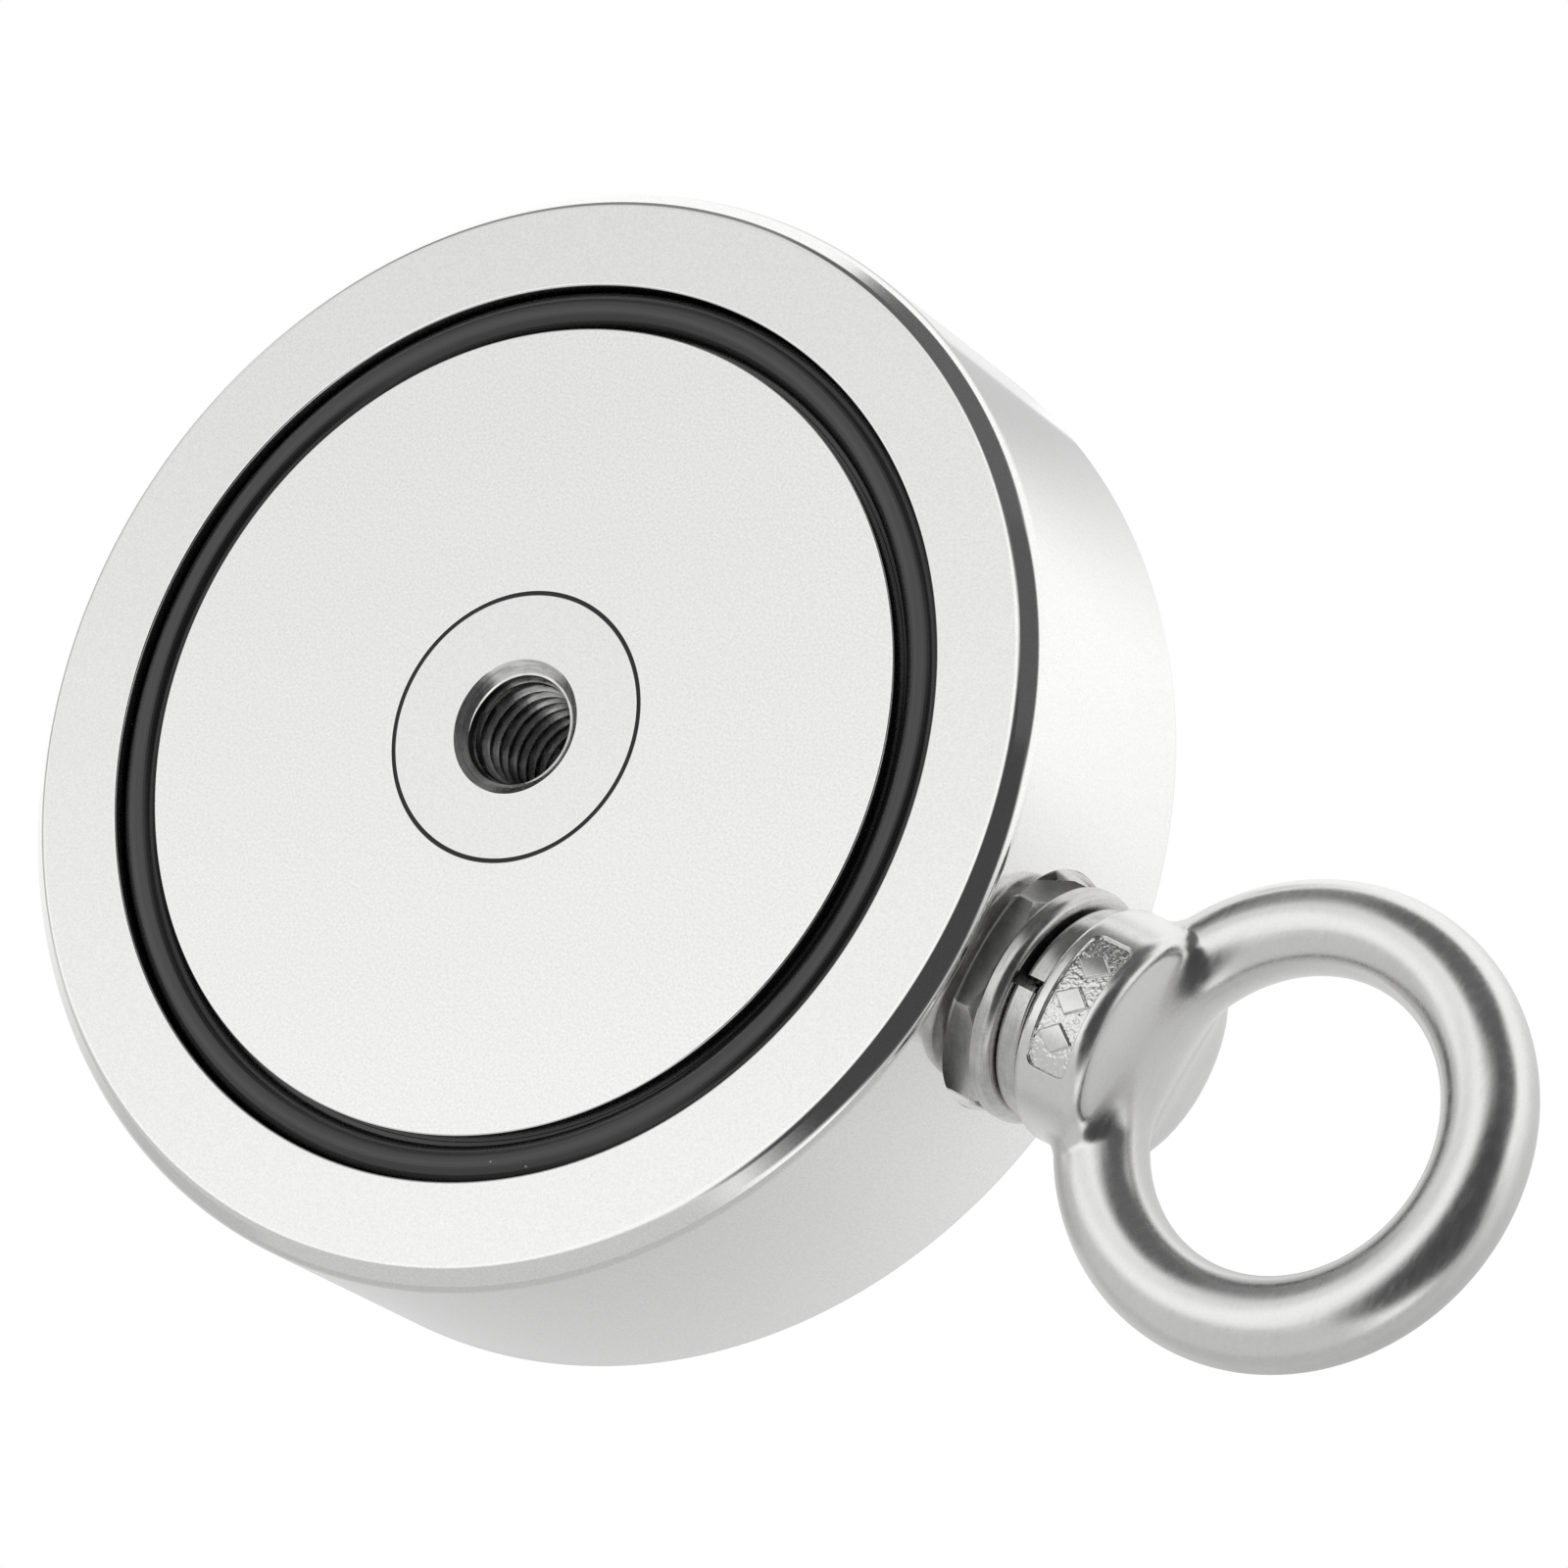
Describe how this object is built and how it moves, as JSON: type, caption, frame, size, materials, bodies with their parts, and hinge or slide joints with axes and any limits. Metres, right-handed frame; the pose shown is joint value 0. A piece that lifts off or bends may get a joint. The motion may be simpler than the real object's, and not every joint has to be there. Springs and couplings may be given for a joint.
{
  "type": "magnet fishing magnet",
  "caption": "Round double-sided fishing magnet: a nickel-plated steel pot with a ring magnet in each face, a threaded centre bush and a side eye bolt for a rope.",
  "frame": {"origin": "middle of the bottom of the whole object's box; the magnet's own axis stands 23.19 mm towards -X of it", "axes": "+Z out of the front face, away from the face it lies on; +X along the eye bolt, out of the casing; Y across"},
  "size_m": [0.1404, 0.094, 0.028],
  "materials": {
    "nickel_plated_steel": "bright nickel plate over turned steel",
    "nickel_plated_magnet": "satin nickel plate over sintered magnet",
    "cast_stainless": "tumbled cast stainless steel",
    "turned_stainless": "turned stainless steel",
    "black_rubber": "smooth black rubber",
    "black_epoxy": "cured black epoxy"
  },
  "bodies": {
    "magnet_body": {"casing": "nickel_plated_steel", "centre_bush": "nickel_plated_steel", "front_magnet": "nickel_plated_magnet", "rear_magnet": "nickel_plated_magnet", "front_magnet_bond": "black_epoxy", "rear_magnet_bond": "black_epoxy", "front_potting_ring": "black_epoxy", "rear_potting_ring": "black_epoxy", "front_seal_ring": "black_rubber", "rear_seal_ring": "black_rubber", "front_bush_seal": "black_epoxy", "rear_bush_seal": "black_epoxy"},
    "washers": {"flat_washer": "turned_stainless", "spring_washer": "turned_stainless"},
    "eye_bolt": {"eye_bolt": "cast_stainless", "lock_nut": "turned_stainless"}
  },
  "joints": [
    {"name": "eye_bolt_travel", "type": "slide", "parent": "magnet_body", "child": "washers", "axis": [1, 0, 0], "range_m": [0, 0.0195]},
    {"name": "eye_bolt_turn", "type": "hinge", "parent": "washers", "child": "eye_bolt", "pos_m": [0.03, 0, 0.014], "axis": [1, 0, 0], "range_deg": [0, 4680]}
  ],
  "couplings": [
    {"joint": "eye_bolt_travel", "follows": "eye_bolt_turn", "m_per_rad": 0.00023873}
  ]
}
